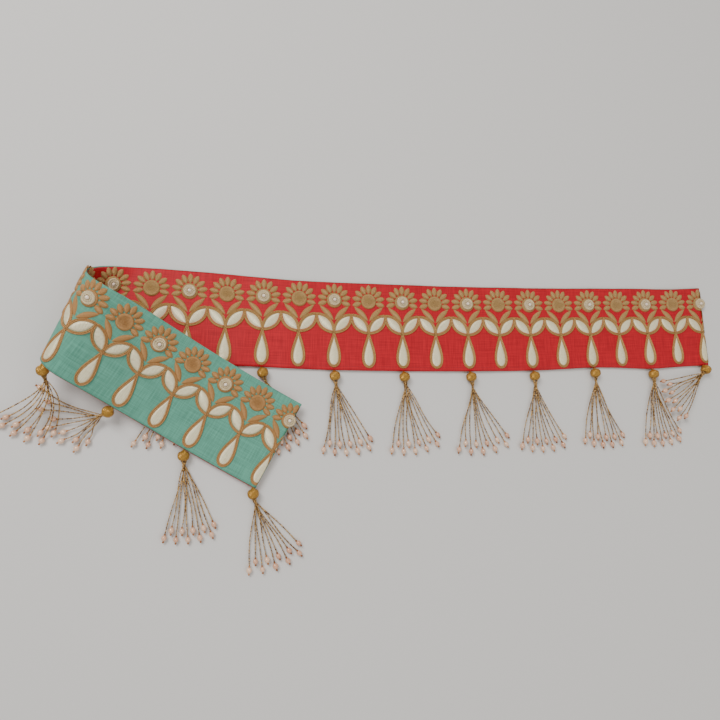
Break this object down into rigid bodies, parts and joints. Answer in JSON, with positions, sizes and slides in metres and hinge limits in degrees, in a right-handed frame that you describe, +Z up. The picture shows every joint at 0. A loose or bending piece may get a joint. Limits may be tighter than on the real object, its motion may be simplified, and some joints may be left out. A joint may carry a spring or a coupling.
{
  "type": "toran door hanging",
  "caption": "Long cloth door hanging laid flat with one end folded back, floral ribbon work on a red front and green back, and beaded tassels along one edge.",
  "frame": {"origin": "centre of the laid-out footprint, on the surface the hanging rests on", "axes": "+X along the flat right part of the strip, +Y towards the strip's top edge, +Z up from the surface"},
  "size_m": [0.8044, 0.3138, 0.0617],
  "materials": {
    "red_silk": "satin-weave art silk with fine slubs",
    "green_silk": "satin-weave art silk with fine slubs",
    "gota_ribbon": "pleated metallic ribbon, soft gold-cream sheen",
    "gold_bead": "small metallised gold beads with pearl drops"
  },
  "bodies": {
    "root": {"band_red": "red_silk", "band_green": "green_silk", "button_red_01": "gota_ribbon", "button_red_02": "gota_ribbon", "button_red_03": "gota_ribbon", "button_red_04": "gota_ribbon", "button_red_05": "gota_ribbon", "button_red_06": "gota_ribbon", "button_red_07": "gota_ribbon", "button_red_08": "gota_ribbon", "button_red_09": "gota_ribbon", "button_red_10": "gota_ribbon", "button_green_01": "gota_ribbon", "button_green_02": "gota_ribbon", "button_green_03": "gota_ribbon", "button_green_04": "gota_ribbon", "tassel_01": "gold_bead", "tassel_02": "gold_bead", "tassel_03": "gold_bead", "tassel_04": "gold_bead", "tassel_05": "gold_bead", "tassel_06": "gold_bead", "tassel_07": "gold_bead", "tassel_08": "gold_bead", "tassel_09": "gold_bead", "tassel_10": "gold_bead", "tassel_11": "gold_bead", "tassel_12": "gold_bead", "tassel_13": "gold_bead", "tassel_14": "gold_bead"}
  },
  "joints": []
}
